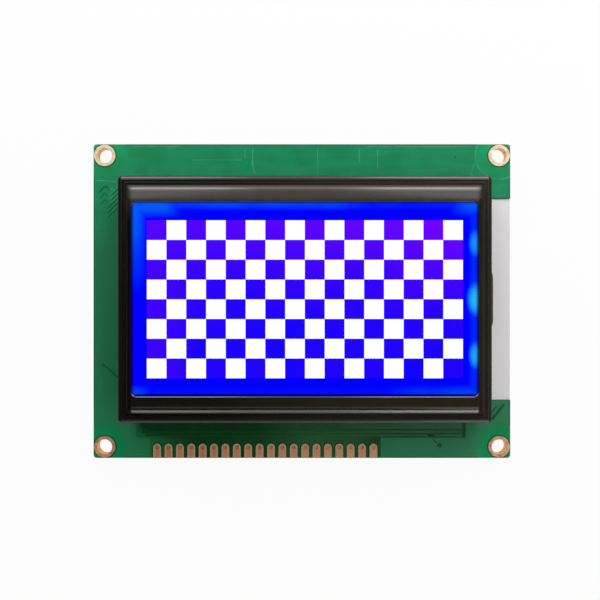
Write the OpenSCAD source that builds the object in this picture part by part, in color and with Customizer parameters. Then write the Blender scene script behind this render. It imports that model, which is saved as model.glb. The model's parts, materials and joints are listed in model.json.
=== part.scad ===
// Graphic liquid crystal display module. A green circuit board carries a lit glass cell under a
// stepped black metal bezel, with solder pads along its lower edge and its chips on the back.
// Origin: centre of the four mounting holes, on the board's back face. +Z faces the viewer.

/* [Circuit board] */
// Board width, along X
board_w = 93; // [90:0.5:110]
// Board height, along Y
board_h = 70; // [66:0.5:90]
// Board thickness
board_t = 1.6; // [1.2:0.1:2.4]
// Radius of the board's corners
board_r = 0.7; // [0.5:0.1:1.5]
// Plated mounting hole diameter
hole_d = 3.3; // [2.5:0.1:3.5]
// Width of the plated ring round a mounting hole
ring_w = 0.75; // [0.6:0.05:1.2]
// Bare board between a ring and the board's edge
ring_margin = 0.1; // [0.05:0.05:1]
// Thickness of the copper and its plating
copper_t = 0.08; // [0.05:0.01:0.15]
// Height of the notch in the right edge
notch_h = 45; // [43:0.5:48]

/* [Edge pads] */
// Number of solder pads
pad_count = 20; // [10:1:22]
// Distance between pad centres
pad_pitch = 2.54; // [2:0.01:2.6]
// Distance from the board's left edge to the first pad's centre
pad_first = 14.2; // [10:0.1:18]
// Pad width
pad_w = 1.75; // [1.4:0.05:1.9]
// Pad length, from its round end to its square end
pad_len = 3.1; // [2.4:0.1:3.6]
// Bare board between a pad and the board's lower edge
pad_margin = 0.1; // [0.05:0.05:0.6]
// Diameter of the filled via at a pad's round end
via_d = 1; // [0.7:0.05:1.2]
// Wall of copper round the dimple in the via
via_wall = 0.08; // [0.05:0.01:0.15]
// Depth of the dimple in the via, below the pad's face
via_dimple = 0.25; // [0.1:0.05:0.5]

/* [Display cell] */
// Viewing area width
view_w = 72; // [70:0.5:74]
// Viewing area height
view_h = 40; // [38:0.5:42]
// Display centre, to the right of the board's centre
display_x = 0.6; // [0:0.1:1.5]
// Display centre, above the board's centre
display_y = 0.4; // [-0.5:0.1:1.5]
// Number of dots across
dot_cols = 128; // [64:16:128]
// Number of dots down
dot_rows = 64; // [32:16:64]
// Distance between dot centres
dot_pitch = 0.52; // [0.48:0.01:0.53]
// Gap between neighbouring dots
dot_gap = 0.04; // [0.02:0.01:0.08]
// Dots along each side of a test pattern square
square_dots = 8; // [8:8:16]
// Thickness of each glass plate
glass_t = 1.1; // [0.7:0.1:1.3]
// Gap between the glass plates
cell_gap = 0.1; // [0.05:0.01:0.15]
// Thickness of each polariser
polariser_t = 0.25; // [0.2:0.01:0.4]
// Overlap of the front polariser above and below the viewing area
polariser_lap = 0.4; // [0.3:0.05:1]
// Width of the edge seal between the glass plates
seal_w = 0.6; // [0.5:0.05:1]
// Contact ledge of the front glass above and below the rear glass
ledge_h = 2.3; // [2:0.1:3.5]

/* [Bezel] */
// Thickness of the bezel's sheet metal
sheet_t = 0.5; // [0.4:0.05:0.6]
// Outside radius of the bezel's bends and corners
bend_r = 1; // [0.7:0.05:1.1]
// Outside radius of the wider bends above and below the raised face
roll_r = 2; // [1.7:0.05:2.2]
// Height of the raised face above the shoulder
step_h = 1.6; // [1.4:0.05:2]
// Width of the shoulder beside the raised face
shoulder_w = 2.25; // [2:0.05:2.6]
// Width of the shoulder above and below the foot of the raised face
shoulder_h = 1.55; // [1.4:0.05:2.2]
// Radius of the hollow bend at the foot of the step
foot_r = 0.5; // [0.3:0.05:0.6]
// How far the window stands outside the viewing area
window_lap = 0.2; // [0.1:0.05:0.3]
// Radius of the window's corners
window_r = 1.4; // [1:0.1:2]
// Broken edge round the window
window_edge = 0.12; // [0.05:0.01:0.2]
// Width of the twist tabs
tab_w = 3; // [2:0.1:4]
// Length of a twist tab's head behind the board
tab_head = 1; // [0.8:0.05:1.4]
// Turn of the twisted heads, in degrees
tab_twist = 40; // [25:1:60]
// Distance between the twist tabs of a long side
tab_span = 27; // [20:0.5:30]
// Distance of the left twist tabs from the display's centre line
left_tab_y = 20.5; // [14:0.5:22]
// Width of the board's slots for the left twist tabs, which reach out past the wall
left_slot_w = 1.4; // [1:0.1:2]
// Height of those slots
left_slot_h = 4.6; // [4:0.1:6]
// Width of the clip on the right side
clip_w = 9.5; // [6:0.5:14]
// How far the clip stands out of the right wall
clip_out = 0.3; // [0.15:0.05:0.4]
// Length of the slopes at the ends of the clip
clip_slope = 0.9; // [0.5:0.05:1.2]
// Top of the clip below the shoulder
clip_drop = 0.7; // [0.6:0.1:4]
// Reach of the clip's foot behind the board
clip_reach = 2; // [1:0.1:3]

/* [Backlight] */
// Light guide thickness
guide_t = 4; // [3:0.1:5]
// Thickness of the tray's floor
floor_t = 1.2; // [0.8:0.1:1.6]
// Thickness of the tray's upper, lower and left walls
tray_wall = 0.7; // [0.6:0.05:0.9]
// Thickness of the tray's right wall, which goes down into the notch
neck_t = 0.8; // [0.7:0.05:1.2]
// Top of the tray's lip in the notch, below the board's face
lip_drop = 0.2; // [0:0.05:0.6]
// Reflector thickness
reflector_t = 0.2; // [0.1:0.05:0.3]
// Diffuser thickness
diffuser_t = 0.3; // [0.2:0.05:0.5]
// Number of light emitting diodes
led_count = 3; // [2:1:4]
// Distance between diodes
led_pitch = 11.8; // [8:0.1:12]
// Diode depth, along the way that it shines
led_depth = 1.4; // [1:0.1:1.6]
// Diode width
led_w = 3.2; // [2:0.1:4]
// Diode height
led_h = 2.2; // [1.4:0.1:2.6]
// Thickness of the diodes' strip board
led_board_t = 0.8; // [0.6:0.1:1]
// Width of the two supply leads
lead_w = 1.6; // [1:0.1:2]
// Thickness of the supply leads
lead_t = 0.3; // [0.2:0.05:0.4]
// Distance of the supply leads from the display's centre line
lead_y = 14; // [10:0.5:17]
// Length of the supply leads along the board's back
lead_len = 4.5; // [3.5:0.1:6]
// Height of the supply leads' upper ends above the tray's floor
lead_rise = 2.4; // [1.5:0.1:2.8]
// Radius of the solder on the supply leads
solder_r = 1.3; // [1.1:0.05:1.5]

/* [Contact strips] */
// Contact strip width
strip_w = 1.9; // [1.6:0.1:2.2]
// Contact strip length
strip_len = 68; // [60:0.5:71]
// Gap between a contact strip and the rear glass
strip_gap = 0.3; // [0.25:0.05:0.5]

/* [Back side] */
// Height of the chip globs
glob_h = 1.9; // [1.5:0.1:2.4]
// Diameter of the controller's glob
controller_d = 17; // [13:0.5:19]
// Diameter of the two driver globs
driver_d = 15; // [12:0.5:17]
// Edge radius of the globs
glob_edge_r = 1.4; // [1:0.1:1.5]
// Controller glob centre below the board's centre
controller_y = 12; // [8:0.5:13]
// Driver glob centres, left and right of the board's centre
driver_x = 25; // [22:0.5:27]
// Driver glob centres above the board's centre
driver_y = 10; // [8:0.5:13]
// Chip part length
chip_len = 2; // [1.6:0.1:2.2]
// Chip part width
chip_w = 1.25; // [0.8:0.05:1.6]
// Chip resistor height
resistor_h = 0.5; // [0.4:0.05:0.7]
// Chip capacitor height
capacitor_h = 0.85; // [0.6:0.05:1]
// Length of a chip part's end cap
cap_len = 0.35; // [0.2:0.05:0.5]
// Distance between chip parts in a row
chip_pitch = 3.2; // [2.4:0.1:3.4]
// Distance from the controller's glob to the first chip part of a row
chip_margin = 2.4; // [1.5:0.1:3]
// Chip resistors in each row, left and right of the controller
resistors = 5; // [2:1:5]
// Chip capacitors in each row, left and right of the controller
capacitors = 3; // [1:1:5]
// Resistor rows below the board's centre
resistor_y = 20; // [17:0.5:21]
// Capacitor rows below the board's centre
capacitor_y = 8; // [5:0.5:11]

/* [Clearances] */
// Clearance between pieces that slip past each other
fit_gap = 0.1; // [0.05:0.01:0.15]
// Clearance between the front glass and the bezel
glass_gap = 0.2; // [0.15:0.05:0.3]
// Clearance round a tab or clip in its slot
slot_gap = 0.2; // [0.1:0.05:0.3]
// Least clearance between the dots and the edge seal
seal_gap = 0.5; // [0.3:0.1:1]

/* [Hidden] */
$fn = 48;
over = 1; // extra reach of a cut beyond the face that it opens

// Mounting holes and pads
ring_r = hole_d / 2 + ring_w;
hole_x = board_w / 2 - ring_r - ring_margin;
hole_y = board_h / 2 - ring_r - ring_margin;
pad_x0 = pad_first - board_w / 2;
pad_y0 = pad_margin - board_h / 2;
via_y = pad_y0 + pad_len - pad_w / 2;

// Levels, from the board's face up to the bezel's face
floor_z = board_t + floor_t;
guide_z = floor_z + reflector_t;
diffuser_z = guide_z + guide_t;
rear_polariser_z = diffuser_z + diffuser_t;
rear_glass_z = rear_polariser_z + polariser_t;
cell_z = rear_glass_z + glass_t;
front_glass_z = cell_z + cell_gap;
front_polariser_z = front_glass_z + glass_t;
ceiling_z = front_polariser_z + polariser_t;
face_z = ceiling_z + sheet_t;
shoulder_z = face_z - step_h;

// Outlines, from the dots and the viewing area out to the bezel
cell_w = max(view_w, dot_cols * dot_pitch + 2 * seal_gap);
cell_h = max(view_h, dot_rows * dot_pitch + 2 * seal_gap);
rear_glass_w = cell_w + 2 * seal_w;
rear_glass_h = cell_h + 2 * seal_w;
front_glass_h = rear_glass_h + 2 * ledge_h;
raised_w = rear_glass_w + 2 * (glass_gap + sheet_t);
flat_x = raised_w / 2 - bend_r;
flat_y = front_glass_h / 2 + glass_gap - sqrt(pow(roll_r - sheet_t, 2)
    - pow(roll_r - sheet_t - polariser_t, 2));
bezel_w = raised_w + 2 * shoulder_w;
bezel_h = 2 * (flat_y + bend_run(roll_r) + shoulder_h);
window_w = view_w + 2 * window_lap;
window_h = view_h + 2 * window_lap;
inner_r = bend_r - sheet_t;
square_pitch = square_dots * dot_pitch;

// Backlight, from the bezel's right wall inwards, measured from the display's centre
tray_h = rear_glass_h + 2 * (strip_gap - fit_gap);
tray_left = -rear_glass_w / 2 - fit_gap;
neck_right = bezel_w / 2 - sheet_t - fit_gap;
neck_left = neck_right - neck_t;
led_x = neck_left - led_board_t - led_depth;
led_z = (floor_z + diffuser_z - led_h) / 2;
lead_z = floor_z + lead_rise;
slab_half = tray_h / 2 - tray_wall - fit_gap;
notch_left = neck_left - fit_gap;
lip_right = board_w / 2 - display_x;
lip_z = board_t - lip_drop;

// Bezel's walls and clip, measured from the display's centre
wall_x = bezel_w / 2 - sheet_t / 2;
wall_y = bezel_h / 2 - sheet_t / 2;
clip_x = bezel_w / 2 - sheet_t + clip_out;
clip_hollow = clip_w - 2 * sheet_t * tan(atan(clip_out / clip_slope) / 2);
clip_hollow_z = shoulder_z - clip_drop - sheet_t * (sqrt(2) - 1);

// First chip part of a row, from the board's centre line
chip_x0 = controller_d / 2 + chip_margin;

// Height of the raised face that a bend of radius r and its hollow foot take up together
function bend_drop(r) = min(step_h, r + foot_r);

// Distance from the start of that bend out to the end of its foot
function bend_run(r) = sqrt(2 * (r + foot_r) * bend_drop(r) - pow(bend_drop(r), 2));

// Places children at the centre of the display
module at_display() {
    translate([display_x, display_y, 0]) children();
}

// Rectangle with rounded corners
module round_rect(w, h, r) {
    square([w - 2 * r, h], center = true);
    square([w, h - 2 * r], center = true);
    for (x = [-1, 1], y = [-1, 1]) {
        translate([x * (w / 2 - r), y * (h / 2 - r)]) circle(r);
    }
}

// Quarter of a disc, in the corner between +X and +Y
module quarter_disc(r) {
    intersection() {
        circle(r);
        square(r);
    }
}

// Flat rectangular sheet, centred on the display
module sheet(w, h, z, t) {
    at_display() translate([0, 0, z]) linear_extrude(t) square([w, h], center = true);
}

// Box between two corners
module box(low, high) {
    translate(low) cube(high - low);
}

// Sweeps a section round a rectangle with rounded corners. The section's X is the distance out
// from the corner centres, and its Y is the height.
module sweep_round(w, h, r) {
    for (side = [0:3]) rotate(90 * side) {
        run = (side % 2 == 0 ? w : h) - 2 * r;
        out = (side % 2 == 0 ? h : w) / 2 - r;
        translate([-run / 2, out, 0]) rotate([90, 0, 90]) linear_extrude(run) children();
        translate([run / 2, out, 0]) rotate_extrude(angle = 90) children();
    }
}

// Block whose upright corners and upper edges all have one radius
module round_block(w, h, low, high, r) {
    translate([0, 0, low]) {
        translate([r - w / 2, r - h / 2, 0]) cube([w - 2 * r, h - 2 * r, high - low]);
        sweep_round(w, h, r) {
            square([r, high - low - r]);
            translate([0, high - low - r]) quarter_disc(r);
        }
    }
}

// Circuit board
module circuit_board() {
    color("seagreen") linear_extrude(board_t) difference() {
        round_rect(board_w, board_h, board_r);
        at_display() translate([notch_left, -notch_h / 2]) square([board_w, notch_h]);
        for (x = [-1, 1], y = [-1, 1]) {
            translate([x * hole_x, y * hole_y]) circle(hole_d / 2 + copper_t);
        }
        for (i = [0:pad_count - 1]) translate([pad_x0 + i * pad_pitch, via_y]) circle(via_d / 2);
        at_display() tab_slots();
    }
}

// Slots for the bezel's twist tabs
module tab_slots() {
    for (x = [-1:1], y = [-1, 1]) {
        translate([x * tab_span, y * wall_y]) {
            square([tab_w + 2 * slot_gap, sheet_t + 2 * slot_gap], center = true);
        }
    }
    for (y = [-1, 1]) {
        translate([slot_gap + sheet_t / 2 - wall_x - left_slot_w / 2, y * left_tab_y]) {
            square([left_slot_w, left_slot_h], center = true);
        }
    }
}

// Plated eyelets in the mounting holes
module hole_eyelets() {
    color("tan") for (x = [-1, 1], y = [-1, 1]) translate([x * hole_x, y * hole_y, 0]) {
        rotate_extrude() {
            translate([hole_d / 2, -copper_t]) square([copper_t, board_t + 2 * copper_t]);
            for (z = [-copper_t, board_t]) translate([hole_d / 2, z]) square([ring_w, copper_t]);
        }
    }
}

// Solder pads on both faces, joined through a filled via with a dimple at each end
module edge_pads() {
    color("peru") for (i = [0:pad_count - 1]) translate([pad_x0 + i * pad_pitch, via_y, 0]) {
        difference() {
            union() {
                for (z = [-copper_t, board_t]) translate([0, 0, z]) linear_extrude(copper_t) {
                    circle(pad_w / 2);
                    translate([-pad_w / 2, pad_w / 2 - pad_len]) square([pad_w, pad_len - pad_w / 2]);
                }
                cylinder(h = board_t, d = via_d);
            }
            for (z = [-copper_t - over, board_t + copper_t - via_dimple]) translate([0, 0, z]) {
                cylinder(h = via_dimple + over, d = via_d - 2 * via_wall);
            }
        }
    }
}

// Section of the raised face to one side of its middle: flat, bend and hollow foot
module raised_half(flat, r) {
    run = bend_run(r);
    share = r / (r + foot_r);
    reach = run * share;
    translate([0, board_t]) {
        square([flat, face_z - board_t]);
        square([flat + reach, face_z - board_t - bend_drop(r) * share]);
    }
    translate([flat, face_z - r]) intersection() {
        circle(r);
        square([reach, r]);
    }
    translate([flat + reach, shoulder_z]) difference() {
        square([run - reach, bend_drop(r) * (1 - share)]);
        translate([run - reach, foot_r]) circle(foot_r);
    }
}

// Whole section of the raised face
module raised_section(flat, r) {
    raised_half(flat, r);
    mirror([1, 0]) raised_half(flat, r);
}

// Whole section of the hollow under the raised face
module hollow_section(flat, r) {
    low = board_t - over;
    for (side = [0, 1]) mirror([side, 0]) {
        translate([0, low]) square([flat, ceiling_z - low]);
        translate([0, low]) square([flat + r, ceiling_z - r - low]);
        translate([flat, ceiling_z - r]) quarter_disc(r);
    }
}

// Common part of two sections, the first run along Y and the second along X, with mitred corners
module crossed(half_x, half_y) {
    intersection() {
        translate([0, half_y, 0]) rotate([90, 0, 0]) linear_extrude(2 * half_y) children(0);
        translate([-half_x, 0, 0]) rotate([90, 0, 90]) linear_extrude(2 * half_x) children(1);
    }
}

// Stamped bezel: outer wall, shoulder, raised face with the window, twist tabs and right clip
module metal_bezel() {
    color("black") at_display() {
        difference() {
            union() {
                round_block(bezel_w, bezel_h, board_t, shoulder_z, bend_r);
                crossed(flat_x + bend_run(bend_r), flat_y + bend_run(roll_r)) {
                    raised_section(flat_x, bend_r);
                    raised_section(flat_y, roll_r);
                }
            }
            round_block(bezel_w - 2 * sheet_t, bezel_h - 2 * sheet_t, board_t - over,
                shoulder_z - sheet_t, inner_r);
            crossed(flat_x + bend_r, flat_y + roll_r) {
                hollow_section(flat_x, inner_r);
                hollow_section(flat_y, roll_r - sheet_t);
            }
            clip_bulge(bezel_w / 2 - sheet_t, clip_hollow / 2, board_t - over, clip_hollow_z);
            translate([0, 0, ceiling_z - over]) linear_extrude(sheet_t + 2 * over) {
                round_rect(window_w, window_h, window_r);
            }
            translate([0, 0, face_z - window_edge]) sweep_round(window_w, window_h, window_r) {
                polygon([[0, 0], [window_r, 0], [window_r + window_edge, window_edge], [0, window_edge]]);
            }
        }
        twist_tabs();
        right_clip();
    }
}

// Tabs that pass through the board and are turned behind it
module twist_tabs() {
    for (x = [-1:1], y = [-1, 1]) translate([x * tab_span, y * wall_y, 0]) twist_tab();
    for (y = [-1, 1]) translate([-wall_x, y * left_tab_y, 0]) rotate(90) twist_tab();
}

// One tab, with its neck in the slot and its turned head against the board's back
module twist_tab() {
    translate([-tab_w / 2, -sheet_t / 2, 0]) cube([tab_w, sheet_t, board_t + over]);
    rotate(tab_twist) translate([-tab_w / 2, -sheet_t / 2, -tab_head]) {
        cube([tab_w, sheet_t, tab_head]);
    }
}

// Block on a face of the right wall, with sloping ends and top, and a root behind that face
module clip_bulge(face_x, half_w, low, top) {
    root = sheet_t / 2;
    end_y = half_w + clip_slope;
    intersection() {
        translate([0, 0, low]) linear_extrude(top + root - low) {
            polygon([[face_x - root, -end_y], [face_x, -end_y], [face_x + clip_out, -half_w],
                [face_x + clip_out, half_w], [face_x, end_y], [face_x - root, end_y]]);
        }
        translate([0, end_y, 0]) rotate([90, 0, 0]) linear_extrude(2 * end_y) {
            polygon([[face_x - root, low], [face_x + clip_out, low], [face_x + clip_out, top - clip_out],
                [face_x - root, top + root]]);
        }
    }
}

// Wide clip pressed out of the right wall, bent to a foot that hooks under the board beside the notch
module right_clip() {
    foot_x = notch_left - clip_reach;
    clip_bulge(bezel_w / 2, clip_w / 2, board_t, shoulder_z - clip_drop);
    translate([0, clip_w / 2, 0]) rotate([90, 0, 0]) linear_extrude(clip_w) {
        translate([clip_x, 0]) square([sheet_t, board_t + over]);
        translate([foot_x, -sheet_t]) square([clip_x - foot_x, sheet_t]);
        translate([clip_x, 0]) mirror([0, 1]) quarter_disc(sheet_t);
    }
}

// Front polariser, as wide as the flat underside of the bezel's face
module front_polariser() {
    w = raised_w - 2 * bend_r;
    h = view_h + 2 * polariser_lap;
    color("royalblue", 0.3) sheet(w, h, front_polariser_z, polariser_t);
}

module front_glass() {
    color("lightblue", 0.3) at_display() translate([0, 0, front_glass_z]) linear_extrude(glass_t) {
        round_rect(rear_glass_w, front_glass_h, inner_r);
    }
}

module cell_seal() {
    color("midnightblue") at_display() translate([0, 0, cell_z]) linear_extrude(cell_gap) {
        difference() {
            square([rear_glass_w, rear_glass_h], center = true);
            square([cell_w, cell_h], center = true);
        }
    }
}

// Squares of the test pattern whose row and column add up to an odd or an even number
module pattern_squares(odd) {
    cols = dot_cols / square_dots;
    rows = dot_rows / square_dots;
    side = square_pitch - dot_gap;
    for (c = [0:cols - 1], r = [0:rows - 1]) if ((c + r) % 2 == odd) {
        translate([(c - cols / 2 + 0.5) * square_pitch, (rows / 2 - r - 0.5) * square_pitch]) {
            square(side, center = true);
        }
    }
}

module liquid_crystal() {
    color("blue") at_display() translate([0, 0, cell_z]) linear_extrude(cell_gap) difference() {
        square([cell_w, cell_h], center = true);
        pattern_squares(0);
        pattern_squares(1);
    }
}

module lit_dots() {
    color("white") at_display() translate([0, 0, cell_z]) linear_extrude(cell_gap) pattern_squares(1);
}

module idle_dots() {
    color("indigo") at_display() translate([0, 0, cell_z]) linear_extrude(cell_gap) pattern_squares(0);
}

module rear_glass() {
    color("lightblue", 0.3) sheet(rear_glass_w, rear_glass_h, rear_glass_z, glass_t);
}

module rear_polariser() {
    color("royalblue", 0.3) sheet(cell_w, cell_h, rear_polariser_z, polariser_t);
}

// Backlight
module diffuser_sheet() {
    color("white") sheet(cell_w, cell_h, diffuser_z, diffuser_t);
}

// Outline shared by the light guide and its reflector, clear of the tray's walls and the diodes
module guide_slab(z, t) {
    left = tray_left + tray_wall + fit_gap;
    at_display() box([left, -slab_half, z], [led_x - fit_gap, slab_half, z + t]);
}

module light_guide() {
    color("aliceblue", 0.6) guide_slab(guide_z, guide_t);
}

module reflector_sheet() {
    color("silver") guide_slab(floor_z, reflector_t);
}

// White tray under the glass cell, with a lip that fills the board's notch
module backlight_tray() {
    half_h = tray_h / 2;
    lip_half = notch_h / 2 - fit_gap;
    color("gainsboro") at_display() difference() {
        union() {
            box([tray_left, -half_h, board_t], [neck_right, half_h, rear_glass_z]);
            box([neck_left, -half_h, 0], [neck_right, half_h, floor_z]);
            box([neck_left, -lip_half, 0], [lip_right, lip_half, lip_z]);
        }
        box([tray_left + tray_wall, tray_wall - half_h, floor_z],
            [neck_left, half_h - tray_wall, rear_glass_z + over]);
        box([clip_x - slot_gap, -clip_w / 2 - slot_gap, -over],
            [clip_x + sheet_t + slot_gap, clip_w / 2 + slot_gap, board_t]);
        for (y = [-lead_y, lead_y]) {
            box([neck_left - over, y - lead_w / 2, -over], [neck_left + lead_t, y + lead_w / 2, lead_z]);
        }
    }
}

module led_board() {
    color("ivory") at_display() {
        box([neck_left - led_board_t, -slab_half, floor_z], [neck_left, slab_half, diffuser_z]);
    }
}

module backlight_leds() {
    color("khaki") at_display() for (i = [0:led_count - 1]) {
        y = (i - (led_count - 1) / 2) * led_pitch;
        translate([led_x, y - led_w / 2, led_z]) cube([led_depth, led_w, led_h]);
    }
}

// Supply leads, down the tray's right wall and along the board's back
module backlight_leads() {
    color("silver") at_display() for (y = [-lead_y, lead_y]) {
        box([neck_left, y - lead_w / 2, -lead_t], [neck_left + lead_t, y + lead_w / 2, lead_z]);
        lead_foot(y, 0);
    }
}

// Part of a supply lead that lies along the board's back
module lead_foot(y, top) {
    box([neck_left - lead_len, y - lead_w / 2, -lead_t], [neck_left + lead_t, y + lead_w / 2, top]);
}

// Solder over the ends of the supply leads
module lead_solder() {
    color("lightgray") at_display() for (y = [-lead_y, lead_y]) difference() {
        translate([neck_left - lead_len + lead_w / 2, y, 0]) mirror([0, 0, 1]) rotate_extrude() {
            quarter_disc(solder_r);
        }
        lead_foot(y, over);
    }
}

// Rubber contact strip between the board and the front glass, above or below the backlight
module contact_strip(side) {
    middle_y = side * (rear_glass_h / 2 + strip_gap + strip_w / 2);
    color("dimgray") at_display() translate([-strip_len / 2, middle_y - strip_w / 2, board_t]) {
        cube([strip_len, strip_w, front_glass_z - board_t]);
    }
}

// Domed drop of black resin over a chip, with a rounded edge
module glob(x, y, d) {
    dome_r = glob_h + d * d / (4 * glob_h);
    color("black") translate([x, y, 0]) mirror([0, 0, 1]) rotate_extrude() intersection() {
        translate([0, glob_h - dome_r]) circle(dome_r, $fn = 360);
        union() {
            square([d / 2 - glob_edge_r, glob_h]);
            square([d / 2, glob_h - glob_edge_r]);
            translate([d / 2 - glob_edge_r, glob_h - glob_edge_r]) quarter_disc(glob_edge_r);
        }
    }
}

// Repeats children along the two rows that start beside the controller
module chip_rows(count, y) {
    for (side = [-1, 1], i = [0:count - 1]) {
        translate([side * (chip_x0 + i * chip_pitch), -y, 0]) children();
    }
}

// Body of a chip part, between its end caps
module chip_body(h) {
    length = chip_len - 2 * cap_len;
    translate([-chip_w / 2, -length / 2, -h]) cube([chip_w, length, h]);
}

// End caps of a chip part
module chip_caps(h) {
    for (y = [-chip_len / 2, chip_len / 2 - cap_len]) {
        translate([-chip_w / 2, y, -h]) cube([chip_w, cap_len, h]);
    }
}

module chip_resistors() {
    color("black") chip_rows(resistors, resistor_y) chip_body(resistor_h);
}

module chip_capacitors() {
    color("tan") chip_rows(capacitors, capacitor_y) chip_body(capacitor_h);
}

module chip_end_caps() {
    color("silver") {
        chip_rows(resistors, resistor_y) chip_caps(resistor_h);
        chip_rows(capacitors, capacitor_y) chip_caps(capacitor_h);
    }
}

circuit_board();
hole_eyelets();
edge_pads();
metal_bezel();
front_polariser();
front_glass();
cell_seal();
liquid_crystal();
lit_dots();
idle_dots();
rear_glass();
rear_polariser();
diffuser_sheet();
light_guide();
reflector_sheet();
backlight_tray();
led_board();
backlight_leds();
backlight_leads();
lead_solder();
contact_strip(1);  // upper_contact_strip
contact_strip(-1);  // lower_contact_strip
glob(0, -controller_y, controller_d);  // controller_glob
glob(-driver_x, driver_y, driver_d);  // left_driver_glob
glob(driver_x, driver_y, driver_d);  // right_driver_glob
chip_resistors();
chip_capacitors();
chip_end_caps();
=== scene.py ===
import json
import math

import bmesh
import bpy
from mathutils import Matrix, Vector


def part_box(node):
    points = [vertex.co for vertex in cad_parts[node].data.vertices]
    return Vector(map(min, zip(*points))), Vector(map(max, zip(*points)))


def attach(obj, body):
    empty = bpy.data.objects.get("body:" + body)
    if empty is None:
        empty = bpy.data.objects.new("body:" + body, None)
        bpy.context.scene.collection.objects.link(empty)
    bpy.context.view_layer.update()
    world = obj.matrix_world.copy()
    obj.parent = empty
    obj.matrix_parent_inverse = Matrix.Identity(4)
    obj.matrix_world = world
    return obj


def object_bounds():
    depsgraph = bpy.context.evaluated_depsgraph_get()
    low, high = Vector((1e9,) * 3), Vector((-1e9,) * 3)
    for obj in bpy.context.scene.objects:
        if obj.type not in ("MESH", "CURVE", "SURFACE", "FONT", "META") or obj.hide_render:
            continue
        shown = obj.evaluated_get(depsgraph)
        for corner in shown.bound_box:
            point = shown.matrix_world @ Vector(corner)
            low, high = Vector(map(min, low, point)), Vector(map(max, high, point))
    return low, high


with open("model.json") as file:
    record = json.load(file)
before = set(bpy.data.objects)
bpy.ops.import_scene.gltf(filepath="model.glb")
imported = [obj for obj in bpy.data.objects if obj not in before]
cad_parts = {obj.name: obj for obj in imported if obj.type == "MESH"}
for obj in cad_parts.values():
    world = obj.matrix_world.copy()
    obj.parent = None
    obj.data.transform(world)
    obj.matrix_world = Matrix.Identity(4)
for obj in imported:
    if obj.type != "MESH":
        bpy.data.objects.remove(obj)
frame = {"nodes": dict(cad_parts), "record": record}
cad_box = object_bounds()

# Lengths below are in millimetres, in the frame of the solids. Meshes are scaled to metres when made.
MM = 0.001


def box_mm(node):
    """Lowest and highest corner of a node, in millimetres."""
    low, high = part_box(node)
    return low / MM, high / MM


def round_mm(node):
    """Centre and radius of a round node, in millimetres."""
    low, high = box_mm(node)
    return (low.x + high.x) / 2, (low.y + high.y) / 2, (high.x - low.x) / 2


# Places taken from the frame
BOARD_LOW, BOARD_HIGH = box_mm("circuit_board")
GLASS_LOW, GLASS_HIGH = box_mm("front_glass")
CELL_LOW, CELL_HIGH = box_mm("liquid_crystal")
DOTS_LOW, DOTS_HIGH = box_mm("lit_dots")
PADS_LOW, PADS_HIGH = box_mm("edge_pads")
LIP_LOW, LIP_HIGH = box_mm("backlight_tray")
LEDS_LOW, LEDS_HIGH = box_mm("backlight_leds")
RESISTORS_LOW, RESISTORS_HIGH = box_mm("chip_resistors")
CAPACITORS_LOW, CAPACITORS_HIGH = box_mm("chip_capacitors")
EYELETS_HIGH = box_mm("hole_eyelets")[1]
CONTROLLER = round_mm("controller_glob")
DRIVER = round_mm("right_driver_glob")
HOLE_DIMS = frame["record"]["mounts"][0]["dims"]
HOLE_X = HOLE_DIMS["spacing_x_mm"] / 2
HOLE_Y = HOLE_DIMS["spacing_y_mm"] / 2
CELL_MID = (CELL_LOW + CELL_HIGH) / 2

# Sizes that the solids share with the finishes
PAD_COUNT = 20
PAD_W = 1.75
PAD_PITCH = (PADS_HIGH.x - PADS_LOW.x - PAD_W) / (PAD_COUNT - 1)
PAD_X0 = PADS_LOW.x + PAD_W / 2
PAD_END_Y = PADS_HIGH.y - PAD_W / 2
RING_R = EYELETS_HIGH.x - HOLE_X
DOT_PITCH = 0.52
DOT_GAP = 0.04
BEZEL_MARGIN = Vector((2.95, 3.25, 0.0))
BEZEL_LOW = GLASS_LOW - BEZEL_MARGIN
BEZEL_HIGH = GLASS_HIGH + BEZEL_MARGIN
BEZEL_R = 1.0
WINDOW_HALF_H = 20.2
FACE_HALF_W = 36.3
ROLL_START = 22.27
SHOULDER_Z = 9.0
LED_COUNT = 3
LED_W = 3.2
LED_MID = (LEDS_LOW + LEDS_HIGH) / 2
LED_PITCH = (LEDS_HIGH.y - LEDS_LOW.y - LED_W) / (LED_COUNT - 1)

# Copper under the solder mask
COPPER_T = 0.035
SUNK = 0.01
POUR_INSET = 0.22
POUR_BEVEL = 0.012
DISC_R = 5.35
BEZEL_GAP = 0.12
TRACK_W = 0.16
TRACK_SLOPE = 0.03


# Node trees

def srgb(red, green, blue):
    """Linear colour from the usual 0 to 255 values."""
    def linear(value):
        value /= 255
        return value / 12.92 if value <= 0.04045 else ((value + 0.055) / 1.055) ** 2.4
    return (linear(red), linear(green), linear(blue), 1.0)


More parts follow.
